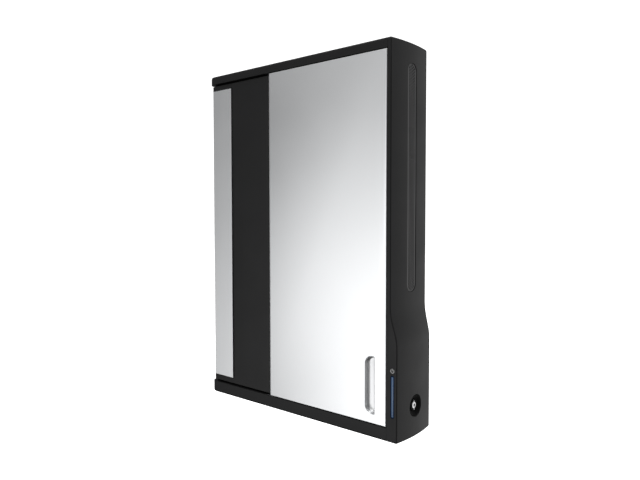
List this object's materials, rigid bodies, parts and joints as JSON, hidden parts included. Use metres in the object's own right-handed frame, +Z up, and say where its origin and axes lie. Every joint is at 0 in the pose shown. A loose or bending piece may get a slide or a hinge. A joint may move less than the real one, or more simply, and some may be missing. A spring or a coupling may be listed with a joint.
{
  "type": "tablet charging cabinet",
  "caption": "Slim wall-mounted cabinet with a hinged silver door, a cam lock and tilted bays that store and charge tablets.",
  "frame": {"origin": "middle of the wall bracket's rear face, on the wall", "axes": "+Z up, +Y into the wall, +X to the right of a person facing the doors, which face -Y"},
  "size_m": [0.5479, 0.1302, 0.764],
  "materials": {
    "black_moulding": "satin black moulding with a fine grain",
    "silver_panel": "satin anodised",
    "dark_sheet_steel": "dark grey powder coat",
    "zinc_steel": "bright zinc",
    "lock_metal": "nickel plate",
    "lock_black": "matt black",
    "shelf_plastic": "grey moulding",
    "rubber": "moulded rubber",
    "lead_jacket": "flexible jacket",
    "bearing_plastic": "natural nylon",
    "supply_case": "dark case",
    "circuit_board": "solder mask",
    "black_insert": "semi gloss",
    "blue_light": "translucent blue light pipe",
    "symbol_grey": "printed lens"
  },
  "bodies": {
    "cabinet": {"wall_bracket": "zinc_steel", "chassis_wrapper": "dark_sheet_steel", "chassis_top": "dark_sheet_steel", "chassis_bottom": "dark_sheet_steel", "partition_wall": "dark_sheet_steel", "centre_post": "dark_sheet_steel", "top_cap": "black_moulding", "bottom_cap": "black_moulding", "side_housing": "black_moulding", "vent_grille": "black_moulding", "status_light": "blue_light", "power_symbol_lens": "symbol_grey", "lock_escutcheon": "lock_black", "lock_body": "lock_black", "lock_nut": "zinc_steel", "comb_left": "black_moulding", "comb_right": "black_moulding", "tablet_shelf_01": "shelf_plastic", "tablet_shelf_02": "shelf_plastic", "tablet_shelf_03": "shelf_plastic", "tablet_shelf_04": "shelf_plastic", "tablet_shelf_05": "shelf_plastic", "tablet_shelf_06": "shelf_plastic", "tablet_shelf_07": "shelf_plastic", "tablet_shelf_08": "shelf_plastic", "tablet_shelf_09": "shelf_plastic", "tablet_shelf_10": "shelf_plastic", "tablet_shelf_11": "shelf_plastic", "tablet_shelf_12": "shelf_plastic", "door_stop_angle": "dark_sheet_steel", "door_bumper_1": "rubber", "door_bumper_2": "rubber", "hinge_bracket_upper": "zinc_steel", "hinge_bracket_lower": "zinc_steel", "hinge_washer": "bearing_plastic", "power_supply": "supply_case", "charge_hub_lower": "black_moulding", "charge_hub_upper": "black_moulding", "control_board": "circuit_board", "power_inlet": "black_insert", "switch_frame": "black_insert", "fan_frame": "black_moulding", "mains_lead": "lead_jacket", "output_lead": "lead_jacket"},
    "front_door": {"door_skin": "silver_panel", "door_inner_pan": "dark_sheet_steel", "finger_pull": "silver_panel", "door_pin_upper": "zinc_steel", "door_pin_lower": "zinc_steel", "door_strike": "zinc_steel"},
    "side_access_door": {"access_door": "black_moulding", "accent_plate": "silver_panel", "access_pin_upper": "zinc_steel", "access_pin_lower": "zinc_steel", "latch_keeper": "zinc_steel"},
    "access_latch": {"access_latch": "zinc_steel"},
    "lock_core": {"lock_plug": "lock_metal", "lock_cam": "zinc_steel"},
    "power_rocker": {"power_rocker": "black_insert"},
    "fan_rotor": {"fan_rotor": "black_moulding"}
  },
  "joints": [
    {"name": "front_door_hinge", "type": "hinge", "parent": "cabinet", "child": "front_door", "pos_m": [-0.0585, -0.123, 0], "axis": [0, 0, -1], "range_deg": [0, 115]},
    {"name": "access_door_hinge", "type": "hinge", "parent": "cabinet", "child": "side_access_door", "pos_m": [-0.2535, -0.115, 0], "axis": [0, 0, -1], "range_deg": [0, 110]},
    {"name": "access_latch_slide", "type": "slide", "parent": "cabinet", "child": "access_latch", "axis": [-1, 0, 0], "range_m": [0, 0.008]},
    {"name": "lock_turn", "type": "hinge", "parent": "cabinet", "child": "lock_core", "pos_m": [0.2778, -0.068, -0.3205], "axis": [1, 0, 0], "range_deg": [0, 90]},
    {"name": "rocker_tilt", "type": "hinge", "parent": "cabinet", "child": "power_rocker", "pos_m": [-0.12, -0.062, -0.3758], "axis": [1, 0, 0], "range_deg": [0, 14]},
    {"name": "fan_spin", "type": "hinge", "parent": "cabinet", "child": "fan_rotor", "pos_m": [0.249, -0.065, 0.19], "axis": [1, 0, 0], "continuous": true}
  ]
}
